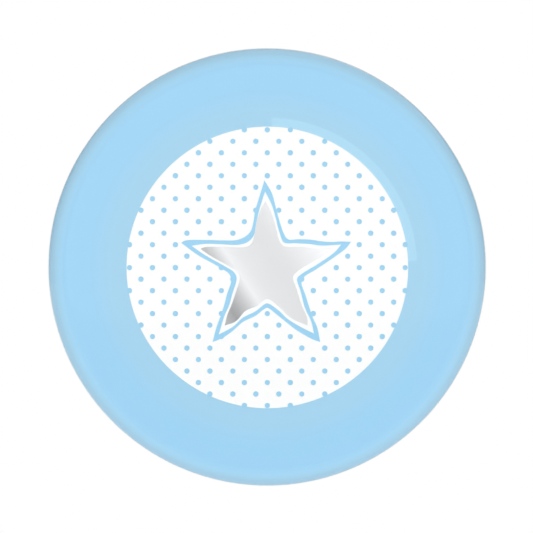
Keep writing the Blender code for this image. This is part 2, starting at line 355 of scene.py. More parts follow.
def clearFilm():
    # only the outer face shines: the inner face lets everything through
    shade = newMaterial("clearFilm")
    where = shade.place()
    waves = shade.math("MULTIPLY", shade.noise(where, *filmLook["waves"]), filmLook["waveShare"])
    pleats = shade.math("MULTIPLY", creaseReliefAndShade(shade, where), creases["filmShare"])
    relief = shade.bump(shade.math("ADD", waves, pleats), *filmLook["relief"])
    clear = shade.node("ShaderNodeBsdfTransparent", {"Color": filmLook["tint"]})
    gloss = shade.node("ShaderNodeBsdfGlossy", {
        "Roughness": filmLook["roughness"], "Normal": relief})
    fresnel = shade.node("ShaderNodeFresnel", {"IOR": filmLook["bending"]}).outputs["Fac"]
    side = shade.node("ShaderNodeNewGeometry").outputs["Backfacing"]
    share = shade.math("MULTIPLY", shade.math("MINIMUM", fresnel, filmLook["mostShine"]),
                       shade.math("SUBTRACT", 1.0, side))
    feeds = {0: share, 1: clear.outputs[0], 2: gloss.outputs[0]}
    return shade.finish(shade.node("ShaderNodeMixShader", feeds))


foilLook = {
    "reflectionAxis": (0.832, 0, 0.555),  # the way along which the painted reflection on the silver changes
    "from": -8.5,  # mm along it
    "to": 7.5,
    "tones": [(-8.5, 176), (-7.9, 169), (-7.1, 150), (-6.3, 168), (-5.6, 183), (-4.8, 202),
              (-4.0, 223), (-3.5, 233), (-2.8, 227), (-1.9, 222), (-0.8, 219), (1.2, 216),
              (2.7, 217), (4.1, 224), (5.6, 232), (7.3, 243)],  # mm and brightness of the painted reflection
    "stretch": (0.25, 1, 6),
    "slant": math.radians(-33),
    "grain": (3, 4),
    "grainShare": 0.06,
    "grainTone": srgb(214, 216, 220),
    "roughness": (0.36, 0.46),
    "relief": (0.05, 0.01 * mm),
    "metal": 0.55,
}


def silverFoil():
    # silver with a fine slanting grain, and a painted reflection on it: a dark sweep at the lower
    # left and a bright streak beside it
    shade = newMaterial("silverFoil")
    across = shade.vectorMath("DOT_PRODUCT", shade.place(), foilLook["reflectionAxis"])["Value"]
    start, end = foilLook["from"], foilLook["to"]
    stops = [((place - start) / (end - start), srgb(tone, tone, tone + 1))
             for place, tone in foilLook["tones"]]
    # painted reflection: the silver's tone runs from dark to bright along one direction
    colour = shade.ramp(shade.spread(across, start, end), stops)
    grain = shade.clouds(shade.place(foilLook["stretch"], (0, foilLook["slant"], 0)),
                         foilLook["grain"])
    colour = shade.stain(grain, foilLook["grainShare"], colour, foilLook["grainTone"])
    rough = shade.spread(grain, 0, 1, *foilLook["roughness"])
    relief = shade.bump(grain, *foilLook["relief"])
    return shade.principled(colour, rough, relief, Metallic=foilLook["metal"])


tinLook = {
    "stretch": (0.06, 1, 2.4),
    "grain": (4, 6, 0.65),  # scale, detail and roughness of the rolling lines
    "clouds": (0.16, 4),
    "scuffStretch": (3.0, 1, 0.09),
    "scuffSlant": math.radians(24),
    "scuffs": (1.2, 3),
    "scuffRange": (0.62, 0.70),
    "dark": (0.50, 0.50, 0.515),
    "light": (0.72, 0.72, 0.725),
    "contrast": (0.25, 0.75),
    "scuffed": grey(0.80),
    "roughness": (0.20, 0.34),
    "scuffRoughness": 0.1,
    "relief": (0.12, 0.02 * mm),
}


def tinplate(name, brightness, wear):
    # rolled tin-plated steel: fine grain along X, a few scuffs and cloudy handling marks
    shade = newMaterial(name)
    grain = shade.noise(shade.place(tinLook["stretch"]), *tinLook["grain"])
    slanted = shade.place(tinLook["scuffStretch"], (0, tinLook["scuffSlant"], 0))
    scuffs = shade.spread(shade.noise(slanted, *tinLook["scuffs"]), *tinLook["scuffRange"])
    dark = dimmed(tinLook["dark"], brightness)
    light = dimmed(tinLook["light"], brightness)
    colour = shade.blend(shade.spread(grain, *noiseRange, *tinLook["contrast"]), dark, light)
    colour = shade.stain(scuffs, wear, colour, tinLook["scuffed"])
    rough = shade.math("ADD", shade.clouds(shade.place(), tinLook["clouds"], *tinLook["roughness"]),
                       shade.math("MULTIPLY", scuffs, tinLook["scuffRoughness"]))
    return shade.principled(colour, rough, shade.bump(grain, *tinLook["relief"]), Metallic=1.0)


wireLook = {
    "stretch": (0.05, 5, 5),
    "lines": (3, 4),  # scale and detail of the drawing lines
    "patches": (0.5, 3),
    "patchRange": (0.35, 0.65),
    "dark": (0.56, 0.55, 0.54),
    "light": (0.76, 0.75, 0.73),
    "contrast": (0.2, 0.8),
    "roughness": (0.13, 0.28),
    "relief": (0.10, 0.02 * mm),
}


def nickelWire(name, brightness):
    # bright drawn wire: faint lines along its length and duller patches
    shade = newMaterial(name)
    lines = shade.noise(shade.place(wireLook["stretch"]), *wireLook["lines"])
    patches = shade.noise(shade.place(), *wireLook["patches"])
    dark = dimmed(wireLook["dark"], brightness)
    light = dimmed(wireLook["light"], brightness)
    share = shade.spread(patches, *wireLook["patchRange"], *wireLook["contrast"])
    colour = shade.blend(share, dark, light)
    rough = shade.spread(lines, *noiseRange, *wireLook["roughness"])
    return shade.principled(colour, rough, shade.bump(lines, *wireLook["relief"]), Metallic=1.0)


lineFinish = printedInk("lineInk", artwork["lineBlue"], artwork["linePaler"])
dotFinish = printedInk("dotInk", artwork["dotBlue"], artwork["dotPaler"])
borderFinish = printedInk("borderInk", artwork["discWhite"], artwork["borderPaler"])
paperFace = inkedPaper()
paperBack = plainPaper()
filmFinish = clearFilm()
foilFinish = silverFoil()
shellTin = tinplate("shellTin", brightness=0.92, wear=0.3)
backTin = tinplate("backTin", brightness=1.0, wear=0.5)
claspNickel = tinplate("claspNickel", brightness=1.1, wear=0.4)
wireNickel = nickelWire("wireNickel", brightness=1.0)
needleSteel = nickelWire("needleSteel", brightness=1.05)
print("materials are made")


# Geometry Nodes: a helper that builds a tree, then runs it once and keeps a plain mesh

class Nodes(Tree):
    def __init__(self, name, inputs):
        self.tree = bpy.data.node_groups.new(name, "GeometryNodeTree")
        face = self.tree.interface
        face.new_socket("Geometry", in_out="INPUT", socket_type="NodeSocketGeometry")
        self.ids = {}
        for label, kind in inputs.items():
            socket = face.new_socket(label, in_out="INPUT", socket_type="NodeSocket" + kind)
            self.ids[label] = socket.identifier
        face.new_socket("Geometry", in_out="OUTPUT", socket_type="NodeSocketGeometry")
        self.start = self.tree.nodes.new("NodeGroupInput")
        self.end = self.tree.nodes.new("NodeGroupOutput")

    def given(self, label):
        return self.start.outputs[label]

    def finish(self, geometry):
        whole = self.node("GeometryNodeRealizeInstances", {"Geometry": geometry}).outputs[0]
        feeds = {"Geometry": whole, "Material": self.given("Material")}
        painted = self.node("GeometryNodeSetMaterial", feeds)
        self.tree.links.new(painted.outputs[0], self.end.inputs[0])
        return self


def runNodes(startMesh, nodes, values):
    # one evaluated copy as a plain mesh, with the modifier gone
    carrier = addObject("carrier", startMesh)
    modifier = carrier.modifiers.new("nodes", "NODES")
    modifier.node_group = nodes.tree
    for label, value in values.items():
        modifier[nodes.ids[label]] = value
    return bakedMesh(carrier)


def bakedMesh(carrier, helpers=()):
    ready = carrier.evaluated_get(bpy.context.evaluated_depsgraph_get())
    mesh = bpy.data.meshes.new_from_object(ready)
    for used in (carrier, *helpers):
        bpy.data.objects.remove(used, do_unlink=True)
    return mesh


build = {
    "wrapSharp": 50,  # degrees: a steeper edge stays sharp
    "printSharp": 40,
    "sheetSharp": 35,
    "wireSharp": 30,
    "weld": 0.00002 * mm,  # points closer than this become one
    "spunWeld": 0.0005 * mm,
    "sliver": 0.00001 * mm,
}


def makePiece(name, mesh, sharpAngle, material):
    mesh.name = name
    mesh.materials.clear()
    mesh.materials.append(material)
    mesh.shade_smooth()
    mesh.set_sharp_from_angle(angle=math.radians(sharpAngle))
    return addObject(name, mesh)


def fromBmesh(bm):
    bmesh.ops.remove_doubles(bm, verts=bm.verts, dist=build["weld"])
    bmesh.ops.recalc_face_normals(bm, faces=bm.faces)
    mesh = bpy.data.meshes.new("mesh")
    bm.to_mesh(mesh)
    bm.free()
    return mesh


# The badge's section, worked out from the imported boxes

filmLow, filmHigh = (Vector(corner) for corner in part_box("clear_film"))
section = {
    "rollRadius": 3.0 * mm,  # front edge, outside of the film
    "curlRadius": 1.4 * mm,  # turned-in edge behind
    "film": (0.0, 0.05 * mm),  # depths of each layer's faces under the film's outside
    "foil": (0.060 * mm, 0.073 * mm),
    "paper": (0.085 * mm, 0.205 * mm),
    "shell": (0.28 * mm, 0.53 * mm),
}
rollRadius = section["rollRadius"]
curlRadius = section["curlRadius"]
edgeY = filmHigh.y - curlRadius
rollX = filmHigh.x - rollRadius
curlX = filmHigh.x - curlRadius
crownRise = edgeY - filmLow.y
crownRadius = (crownRise ** 2 + rollX ** 2 - rollRadius ** 2) / (2 * (crownRise - rollRadius))
crownY = filmLow.y + crownRadius
crownEnd = math.asin(rollX / (crownRadius - rollRadius))


def crownHeight(x, z, depth):
    return crownY - math.sqrt((crownRadius - depth) ** 2 - x * x - z * z)


turning = {
    "sides": 256,
    "crownSteps": 26,
    "rollSteps": 16,
    "curlSteps": 16,
    "pleats": 150.0,
    "pleatHeight": 0.10 * mm,
    "seed": 3,
    "pleatsRise": (0.25, 1.25),  # radians round the curl, from its outermost side inwards
    "pleatsFade": (2.2, 3.0),
    "ridge": (0.1, 0.75),  # from a pleat's top to its foot, in cell distances
    "unevenScale": 6.0,
    "uneven": (0.35, 0.65, 0.35, 1.0),
    "seedStep": 1.7,
}


def wrapFace(depth):
    # crown, front edge and turned-in edge of one face, as (radius, y)
    points = []
    for step in range(turning["crownSteps"]):
        angle = crownEnd * step / turning["crownSteps"]
        radius = crownRadius - depth
        points.append((radius * math.sin(angle), crownY - radius * math.cos(angle)))
    for step in range(turning["rollSteps"] + 1):
        angle = crownEnd + (math.pi / 2 - crownEnd) * step / turning["rollSteps"]
        radius = rollRadius - depth
        points.append((rollX + radius * math.sin(angle), edgeY - radius * math.cos(angle)))
    for step in range(1, turning["curlSteps"] + 1):
        angle = math.pi * step / turning["curlSteps"]
        radius = curlRadius - depth
        points.append((curlX + radius * math.cos(angle), edgeY + radius * math.sin(angle)))
    return points


def turnedTree():
    # spins the profile about Y; the curl at the back can be puckered into small pleats
    nodes = Nodes("turnedSkin", {"Sides": "Int", "Pleats": "Float", "Pleat Height": "Float",
                                 "Curl X": "Float", "Curl Y": "Float", "Seed": "Int",
                                 "Material": "Material"})
    profile = nodes.given("Geometry")
    count = nodes.node("GeometryNodeAttributeDomainSize", {"Geometry": profile})
    rowLength = nodes.math("ADD", nodes.given("Sides"), 1.0)
    grid = nodes.node("GeometryNodeMeshGrid", {
        "Vertices X": count.outputs["Point Count"], "Vertices Y": rowLength})
    index = nodes.node("GeometryNodeInputIndex").outputs[0]
    along = nodes.math("FLOOR", nodes.math("DIVIDE", nodes.math("ADD", index, 0.5), rowLength))
    around = nodes.math("SUBTRACT", index, nodes.math("MULTIPLY", along, rowLength))
    place = nodes.node("GeometryNodeInputPosition").outputs[0]
    feeds = {"Geometry": profile, "Value": place, "Index": along}
    read = nodes.node("GeometryNodeSampleIndex", feeds, data_type="FLOAT_VECTOR", domain="POINT")
    parts = nodes.parts(read.outputs[0])
    angle = nodes.math("MULTIPLY", nodes.math("DIVIDE", around, nodes.given("Sides")), math.tau)
    cosine = nodes.math("COSINE", angle)
    sine = nodes.math("SINE", angle)
    # pleats: soft bulges of uneven spacing, only where the edge turns in
    awayX = nodes.math("SUBTRACT", parts[0], nodes.given("Curl X"))
    awayY = nodes.math("SUBTRACT", parts[1], nodes.given("Curl Y"))
    bearing = nodes.math("ARCTAN2", awayY, awayX)
    mask = nodes.math("MULTIPLY", nodes.ease(bearing, *turning["pleatsRise"]),
                      nodes.ease(bearing, *turning["pleatsFade"], 1.0, 0.0))
    seeded = nodes.math("MULTIPLY", nodes.given("Seed"), turning["seedStep"])
    ringSpot = nodes.vector(cosine, sine, seeded)
    density = nodes.math("DIVIDE", nodes.given("Pleats"), math.tau)
    cells = nodes.node("ShaderNodeTexVoronoi", {"Vector": ringSpot, "Scale": density}, feature="F1")
    ridge = nodes.ease(cells.outputs["Distance"], *turning["ridge"], 1.0, 0.0)
    noise = nodes.node("ShaderNodeTexNoise", {"Vector": ringSpot, "Scale": turning["unevenScale"]})
    uneven = nodes.math("MULTIPLY", nodes.given("Pleat Height"),
                        nodes.ease(noise.outputs[0], *turning["uneven"]))
    height = nodes.math("MULTIPLY", nodes.math("MULTIPLY", ridge, mask), uneven)
    outX = nodes.math("MULTIPLY", nodes.math("COSINE", bearing), height)
    outY = nodes.math("MULTIPLY", nodes.math("SINE", bearing), height)
    radius = nodes.math("ADD", parts[0], outX)
    spot = nodes.vector(nodes.math("MULTIPLY", radius, cosine), nodes.math("ADD", parts[1], outY),
                        nodes.math("MULTIPLY", radius, sine))
    turned = nodes.node("GeometryNodeSetPosition", {
        "Geometry": grid.outputs["Mesh"], "Position": spot})
    welded = nodes.node("GeometryNodeMergeByDistance", {
        "Geometry": turned.outputs[0], "Distance": build["spunWeld"]})
    return nodes.finish(welded.outputs[0])


turnedSkin = turnedTree()


def turnedMesh(points, material, pleatHeight=0.0):
    profile = bpy.data.meshes.new("profile")
    edges = [(index, index + 1) for index in range(len(points) - 1)]
    profile.from_pydata([(radius, y, 0) for radius, y in points], edges, [])
    mesh = runNodes(profile, turnedSkin, {
        "Sides": turning["sides"], "Pleats": turning["pleats"], "Pleat Height": pleatHeight,
        "Curl X": curlX, "Curl Y": edgeY, "Seed": turning["seed"], "Material": material})
    bm = bmesh.new()
    bm.from_mesh(mesh)
    bmesh.ops.dissolve_degenerate(bm, dist=build["sliver"], edges=bm.edges)
    bmesh.ops.recalc_face_normals(bm, faces=bm.faces)
    bm.to_mesh(mesh)
    bm.free()
    return mesh


def wrapPiece(name, layer, material, pleatHeight):
    outside, inside = section[layer]
    points = wrapFace(outside) + wrapFace(inside)[::-1]
    return makePiece(name, turnedMesh(points, material, pleatHeight), build["wrapSharp"], material)


film = wrapPiece("film_wrap", "film", filmFinish, turning["pleatHeight"])
paper = wrapPiece("paper_wrap", "paper", paperFace, turning["pleatHeight"])
shell = wrapPiece("shell_dome", "shell", shellTin, 0.0)
paper.data.materials.append(paperBack)


def depthUnderFilm(point):
    # how far a point lies under the film's outer face
    radius = math.hypot(point.x, point.z)
    if point.y >= edgeY:
        return curlRadius - math.hypot(radius - curlX, point.y - edgeY)
    if radius < (crownY - point.y) * math.tan(crownEnd):
        return crownRadius - math.hypot(radius, crownY - point.y)
    return rollRadius - math.hypot(radius - rollX, point.y - edgeY)


paperMiddle = sum(section["paper"]) / 2
for face in paper.data.polygons:
    if math.hypot(face.center.x, face.center.z) < rollX:
        unprinted = face.normal.y > 0
    else:
        unprinted = depthUnderFilm(face.center) > paperMiddle
    if unprinted:
        face.material_index = 1
print("film, paper and shell are turned:", len(film.data.polygons), "faces each")


# The star: three outlines as runs from tip to tip, X and Z in millimetres

starRuns = {
    "line": [
        [(-0.36, 11.46), (0.64, 9.71), (1.06, 8.18), (1.65, 6.01), (2.21, 4.4), (2.75, 3.66),
         (4.2, 3.66), (5.82, 3.6), (7.03, 3.4), (8.6, 3.3), (9.7, 3.37)],
        [(11.11, 3.33), (10.4, 2.43), (9.3, 1.58), (6.47, -0.33), (4.94, -1.29), (4.54, -2.01),
         (5.12, -3.88), (6.03, -6.68), (6.63, -8.03)],
        [(7.03, -9.96), (6.07, -9.62), (3.82, -8.34), (2.69, -7.46), (1.25, -6.3), (0.01, -5.43),
         (-0.52, -5.68), (-1.55, -6.48), (-3.16, -7.26), (-4.79, -8.66), (-5.97, -9.43)],
        [(-7.23, -9.96), (-6.72, -8.03), (-6.1, -6.3), (-5.64, -4.85), (-5.31, -3.56),
         (-4.78, -1.9), (-5.01, -0.97), (-5.81, -0.35), (-7.63, 0.69), (-9.12, 1.52)],
        [(-11.38, 3.17), (-10.95, 3.46), (-8.06, 3.57), (-6.13, 3.51), (-3.85, 3.6), (-2.6, 4.25),
         (-2.09, 4.94), (-1.8, 6.1), (-1.64, 7.22), (-1.08, 9.15)],
    ],
    "border": [
        [(-0.28, 9.98), (0.61, 8.18), (1.09, 6.58), (1.65, 4.49), (2.21, 3.24), (3.8, 3.13),
         (5.74, 3.01), (7.03, 2.83)],
        [(9.79, 2.95), (8.86, 1.89), (6.69, 0.37), (4.71, -0.84), (3.97, -1.53), (4.42, -3.24),
         (4.97, -5.34), (5.83, -7.25)],
        [(6.19, -8.83), (4.07, -7.75), (2.6, -6.8), (1.47, -5.73), (-0.03, -4.82), (-0.52, -5.07),
         (-1.57, -5.89), (-3.22, -6.72), (-4.5, -7.9)],
        [(-6.42, -8.96), (-5.66, -6.48), (-5.02, -5.03), (-4.61, -3.56), (-4.05, -1.45),
         (-4.47, -0.64), (-5.55, 0.05), (-7.6, 1.19), (-8.9, 2.0)],
        [(-10.02, 2.8), (-8.06, 3.05), (-6.13, 3.0), (-3.81, 2.93), (-2.56, 3.31), (-1.78, 4.15),
         (-1.46, 5.76), (-1.01, 7.68)],
    ],
    "foil": [
        [(-0.24, 8.73), (0.69, 6.82), (1.25, 4.81), (1.65, 3.37), (2.18, 2.76), (4.78, 2.63),
         (6.39, 2.43)],
        [(8.71, 2.53), (7.83, 1.76), (6.39, 0.88), (4.14, -0.49), (3.43, -1.29), (3.9, -2.97),
         (4.54, -4.98), (5.3, -6.83)],
        [(5.34, -7.77), (3.18, -6.78), (1.57, -5.3), (-0.03, -4.24), (-1.32, -5.14), (-2.92, -5.86),
         (-4.15, -7.19)],
        [(-5.62, -7.77), (-5.27, -6.35), (-4.79, -5.2), (-4.21, -3.54), (-3.65, -1.29),
         (-4.05, -0.57), (-5.17, 0.16), (-7.58, 1.52)],
        [(-8.83, 2.4), (-8.22, 2.61), (-5.5, 2.65), (-2.76, 2.66), (-2.12, 3.08), (-1.69, 4.17),
         (-1.4, 5.93), (-0.92, 7.46)],
    ],
}
starBuild = {
    "stepLength": 0.16,  # mm between points along an outline
    "rings": 14,
    "shift": (0.007, 0.027),  # mm, the star's place on the print
    "line": (0.077 * mm, 0.087 * mm),  # depths of each sheet's faces under the film
    "border": (0.072 * mm, 0.078 * mm),
    "foil": section["foil"],
    "shortest": 0.0001,  # keeps the curve's steps above nothing
}


def smoothRun(points):
    # a centripetal curve through the points; both ends stay sharp
    points = [Vector(p) for p in points]
    ends = [2 * points[0] - points[1]] + points + [2 * points[-1] - points[-2]]
    smooth = []
    for before, start, end, after in zip(ends, ends[1:], ends[2:], ends[3:]):
        knots = [0.0]
        for a, b in ((before, start), (start, end), (end, after)):
            knots.append(knots[-1] + max((b - a).length, starBuild["shortest"]) ** 0.5)
        count = max(1, round((end - start).length / starBuild["stepLength"]))
        for step in range(count):
            t = knots[1] + (knots[2] - knots[1]) * step / count
            level = [before, start, end, after]
            for depth in (1, 2):
                merged = []
                for i in range(len(level) - 1):
                    share = (t - knots[i]) / (knots[i + depth] - knots[i])
                    merged.append(level[i] * (1 - share) + level[i + 1] * share)
                level = merged
            share = (t - knots[1]) / (knots[2] - knots[1])
            smooth.append(level[0] * (1 - share) + level[1] * share)
    return smooth


def starOutline(kind):
    runs = starRuns[kind]
    outline = []
    for run, following in zip(runs, runs[1:] + runs[:1]):
        outline += smoothRun(run + [following[0]])
    return [point + Vector(starBuild["shift"]) for point in outline]


def crownSheet(outline, depths):
    # a closed sheet on the crown, in rings that shrink towards its middle
    bm = bmesh.new()
    rims = []
    for depth in depths:
        middle = bm.verts.new((0, crownHeight(0, 0, depth), 0))
        loops = []
        for ring in range(1, starBuild["rings"] + 1):
            places = [point * (ring / starBuild["rings"] * mm) for point in outline]
            loops.append([bm.verts.new((x, crownHeight(x, z, depth), z)) for x, z in places])
        for index in range(len(outline)):
            bm.faces.new((middle, loops[0][index - 1], loops[0][index]))
            for inner, outer in zip(loops, loops[1:]):
                bm.faces.new((inner[index - 1], outer[index - 1], outer[index], inner[index]))
        rims.append(loops[-1])
    front, back = rims
    for index in range(len(outline)):
        bm.faces.new((front[index - 1], back[index - 1], back[index], front[index]))
    return fromBmesh(bm)


def starPiece(name, kind, material):
    mesh = crownSheet(starOutline(kind), starBuild[kind])
    return makePiece(name, mesh, build["printSharp"], material)


starLine = starPiece("star_line_ink", "line", lineFinish)
starBorder = starPiece("star_border_ink", "border", borderFinish)
starFoil = starPiece("star_foil", "foil", foilFinish)
print("the star is laid on the crown")


# The dots: a turned lattice of ink discs, by Geometry Nodes

dots = {
    "diameter": artwork["dotDiameter"] * mm,
    "reach": 13,  # places each way from the middle
    "limit": 18.9 * mm,  # dots whose middles lie further out are left off
    "sides": 20,
    "top": 0.081 * mm,  # depth of a dot's face under the film
    "thick": 0.006 * mm,
    "unevenness": 0.035,  # how much a dot's size varies
    "probe": 10 * mm,  # how far in front of a dot the star is looked for
    "seed": 11,
}


def latticeMesh():
    # one point for each dot, on the crown
    points = []
    middleX, middleZ = artwork["dotMiddle"]
    places = range(-dots["reach"], dots["reach"] + 1)
    for row in places:
        for place in places:
            if (row + place) % 2:
                continue
            x = (middleX + place * artwork["dotPitch"]) * mm
            z = (middleZ + row * artwork["dotPitch"]) * mm
            points.append((x, crownHeight(x, z, dots["top"] + dots["thick"] / 2), z))
    mesh = bpy.data.meshes.new("lattice")
    mesh.from_pydata(points, [], [])
    return mesh


def dotTree():
    nodes = Nodes("dotLattice", {"Diameter": "Float", "Thick": "Float", "Sides": "Int",
                                 "Limit": "Float", "Crown Middle": "Float", "Unevenness": "Float",
                                 "Star": "Object", "Seed": "Int", "Material": "Material"})
    place = nodes.node("GeometryNodeInputPosition").outputs[0]
    star = nodes.node("GeometryNodeObjectInfo", {"Object": nodes.given("Star")})
    hit = nodes.node("GeometryNodeRaycast", {
        "Target Geometry": star.outputs["Geometry"], "Source Position": place,
        "Ray Direction": (0, -1, 0), "Ray Length": dots["probe"]})
    spot = nodes.parts(place)
    far = nodes.vectorMath("LENGTH", nodes.vector(spot[0], spot[2]))["Value"]
    tooFar = nodes.node("FunctionNodeCompare", {0: far, 1: nodes.given("Limit")},
                        operation="GREATER_THAN")
    unwanted = nodes.node("FunctionNodeBooleanMath",
                          {0: hit.outputs["Is Hit"], 1: tooFar.outputs[0]}, operation="OR")
    kept = nodes.node("GeometryNodeDeleteGeometry", {
        "Geometry": nodes.given("Geometry"), "Selection": unwanted.outputs[0]}, domain="POINT")
    disc = nodes.node("GeometryNodeMeshCylinder", {
        "Vertices": nodes.given("Sides"), "Side Segments": 1,
        "Radius": nodes.math("DIVIDE", nodes.given("Diameter"), 2.0),
        "Depth": nodes.given("Thick")}, fill_type="TRIANGLE_FAN")
    centre = nodes.vector(y=nodes.given("Crown Middle"))
    outward = nodes.vectorMath("SUBTRACT", place, centre)[0]
    facing = nodes.node("FunctionNodeAlignRotationToVector", {"Vector": outward}, axis="Z")
    size = nodes.node("FunctionNodeRandomValue", {  # 2 and 3 are its lowest and highest number
        2: nodes.math("SUBTRACT", 1.0, nodes.given("Unevenness")),
        3: nodes.math("ADD", 1.0, nodes.given("Unevenness")),
        "Seed": nodes.given("Seed")}, data_type="FLOAT").outputs[1]
    placed = nodes.node("GeometryNodeInstanceOnPoints", {
        "Points": kept.outputs[0], "Instance": disc.outputs["Mesh"],
        "Rotation": facing.outputs[0], "Scale": nodes.vector(size, size, 1.0)})
    return nodes.finish(placed.outputs[0])


dotMesh = runNodes(latticeMesh(), dotTree(), {
    "Diameter": dots["diameter"], "Thick": dots["thick"], "Sides": dots["sides"],
    "Limit": dots["limit"], "Crown Middle": crownY, "Unevenness": dots["unevenness"],
    "Star": starBorder, "Seed": dots["seed"], "Material": dotFinish})
dotInk = makePiece("dot_ink", dotMesh, build["printSharp"], dotFinish)
print("dots are printed:", len(dotMesh.polygons), "faces")


# Bent sheet: a path's corners become arcs, then the path gets its two faces

def bendPath(corners, radius, steps):
    path = [Vector(corners[0])]
    for before, corner, after in zip(corners, corners[1:], corners[2:]):
        corner = Vector(corner)
        into = (corner - Vector(before)).normalized()
        out = (Vector(after) - corner).normalized()
        turnAngle = into.angle(out)
        start = corner - into * (radius * math.tan(turnAngle / 2))
        side = 1 if into.cross(out) > 0 else -1
        spoke = side * radius * Vector((into.y, -into.x))
        for step in range(steps + 1):
            swing = unit(side * turnAngle * step / steps)
            path.append(start - spoke + Vector((spoke.x * swing.x - spoke.y * swing.y,
                                                spoke.x * swing.y + spoke.y * swing.x)))
    path.append(Vector(corners[-1]))
    return path


def sheetOutline(path, thickness):
    left, right = [], []
    for index, point in enumerate(path):
        into = (point - path[index - 1]).normalized() if index else None
        out = (path[index + 1] - point).normalized() if index + 1 < len(path) else None
        into = into or out
        out = out or into
        along = (into + out).normalized()
        across = Vector((-along.y, along.x)) * (thickness / 2 / along.dot(into))
        left.append(point + across)
        right.append(point - across)
    return left + right[::-1]


def extruded(outline, vector):
    bm = bmesh.new()
    face = bm.faces.new([bm.verts.new(point) for point in outline])
    grown = bmesh.ops.extrude_face_region(bm, geom=[face])["geom"]
    moved = [part for part in grown if isinstance(part, bmesh.types.BMVert)]
    bmesh.ops.translate(bm, verts=moved, vec=vector)
    return fromBmesh(bm)


# The pin's places, from its joints

joints = {joint["name"]: joint["pos_m"] for joint in frame["record"]["behaviour"]["joints"]}
spineY, spineZ = joints["pin_swivel"][1:]
coilX, needleY, coilZ = joints["needle_open"]
wire = {
    "radius": 0.4 * mm,
    "sides": 28,
    "coilRadius": 2.0 * mm,
    "coilTurns": 1.5,
    "coilSteps": 150,
    "tongue": 0.8 * mm,  # the coil's ends run on inside the straight lengths,
    "tongueStart": 0.01 * mm,  # so that no gap opens
    "tongueShare": 0.96,
    "chamfer": (0.12 * mm, 0.1 * mm),  # along and across the spine's cut end
    "taper": 5.0 * mm,  # the needle's point
    "taperSteps": 24,
    "taperPower": 1.6,  # above 1, the point keeps its wire's width for longer
    "tip": 0.03 * mm,
}
wireRadius = wire["radius"]
needleZ = coilZ - wire["coilRadius"]


# The back plate, with two bridges lanced out of it

plateLow, plateHigh = (Vector(corner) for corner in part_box("back_plate"))
plate = {
    "thickness": 0.25 * mm,
    "recessRadius": 20.8 * mm,
    "recessWallRun": 0.9 * mm,
    "bend": 0.45 * mm,
    "bendSteps": 6,
    "curlGap": 0.30 * mm,
    "bridgeSpacing": 17.0 * mm,
    "bridgeWidth": 3.2 * mm,
    "bridgeThickness": 0.20 * mm,
    "bridgeHalfLength": 2.0 * mm,
    "bridgeRoot": 0.6 * mm,  # runs on into the floor
    "bridgeFlat": 1.7 * mm,
    "bridgeBend": 0.3 * mm,
    "slit": 0.15 * mm,
    "spinePlay": 0.10 * mm,
}


def makePlate():
    half = plate["thickness"] / 2
    floorY = plateLow.y + half
    landY = plateHigh.y - half
    wallX = curlX - curlRadius - plate["curlGap"] - half
    flangeY = edgeY - plate["curlGap"] - half
    corners = [(0, floorY), (plate["recessRadius"], floorY),
               (plate["recessRadius"] + plate["recessWallRun"], landY), (wallX, landY),
               (wallX, flangeY), (plateHigh.x, flangeY)]
    points = sheetOutline(bendPath(corners, plate["bend"], plate["bendSteps"]), plate["thickness"])
    body = addObject("plateBody", turnedMesh(points, backTin))
    halfSlot = plate["bridgeWidth"] / 2 + plate["slit"]
    halfLength = plate["bridgeHalfLength"]
    foot = halfLength + plate["bridgeRoot"]
    knee = halfLength - 2 * plate["slit"]
    topHalf = plate["bridgeFlat"] / 2
    topY = spineY + wireRadius + plate["spinePlay"] + plate["bridgeThickness"] / 2
    arch = [(spineZ - foot, floorY), (spineZ - knee, floorY), (spineZ - topHalf, topY),
            (spineZ + topHalf, topY), (spineZ + knee, floorY), (spineZ + foot, floorY)]
    strip = sheetOutline(bendPath(arch, plate["bridgeBend"], plate["bendSteps"]),
                         plate["bridgeThickness"])
    helpers = []
    for side in (-1, 1):
        middleX = side * plate["bridgeSpacing"] / 2
        slot = [(middleX + x * halfSlot, plateLow.y - half, spineZ + z * halfLength)
                for x, z in ((-1, -1), (1, -1), (1, 1), (-1, 1))]
        slotMesh = extruded(slot, (0, 2 * plate["thickness"], 0))
        startX = middleX - plate["bridgeWidth"] / 2
        bridgeMesh = extruded([(startX, y, z) for z, y in strip], (plate["bridgeWidth"], 0, 0))
        for operation, mesh in (("DIFFERENCE", slotMesh), ("UNION", bridgeMesh)):
            helper = addObject("helper", mesh)
            helpers.append(helper)
            modifier = body.modifiers.new(operation, "BOOLEAN")
            modifier.operation = operation
            modifier.object = helper
            modifier.solver = "EXACT"
    return makePiece("back_plate_skin", bakedMesh(body, helpers), build["sheetSharp"], backTin)


backPlate = makePlate()
print("the back plate is pressed and lanced")


# The pin's wire

def sweepWire(name, places, radii, material):
    bm = bmesh.new()
    rings = []
    for index, place in enumerate(places):
        before = places[max(index - 1, 0)]
        after = places[min(index + 1, len(places) - 1)]
        along = (after - before).normalized()
        across = along.cross(Vector((0, 1, 0))).normalized()
        upward = across.cross(along)
        ring = []
        for side in range(wire["sides"]):
            spoke = unit(math.tau * side / wire["sides"]) * radii[index]
            ring.append(bm.verts.new(place + across * spoke.x + upward * spoke.y))
        rings.append(ring)
    for ring, following in zip(rings, rings[1:]):
        for side in range(wire["sides"]):
            bm.faces.new((ring[side], ring[side - 1], following[side - 1], following[side]))
    bm.faces.new(rings[0])
    bm.faces.new(rings[-1][::-1])
    return makePiece(name, fromBmesh(bm), build["wireSharp"], material)


def makeSpine():
    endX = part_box("pin_spine")[1][0]
    along, across = wire["chamfer"]
    places = [Vector((x, spineY, spineZ)) for x in (coilX, endX - along, endX)]
    radii = [wireRadius, wireRadius, wireRadius - across]
    return sweepWire("spine_wire", places, radii, wireNickel)


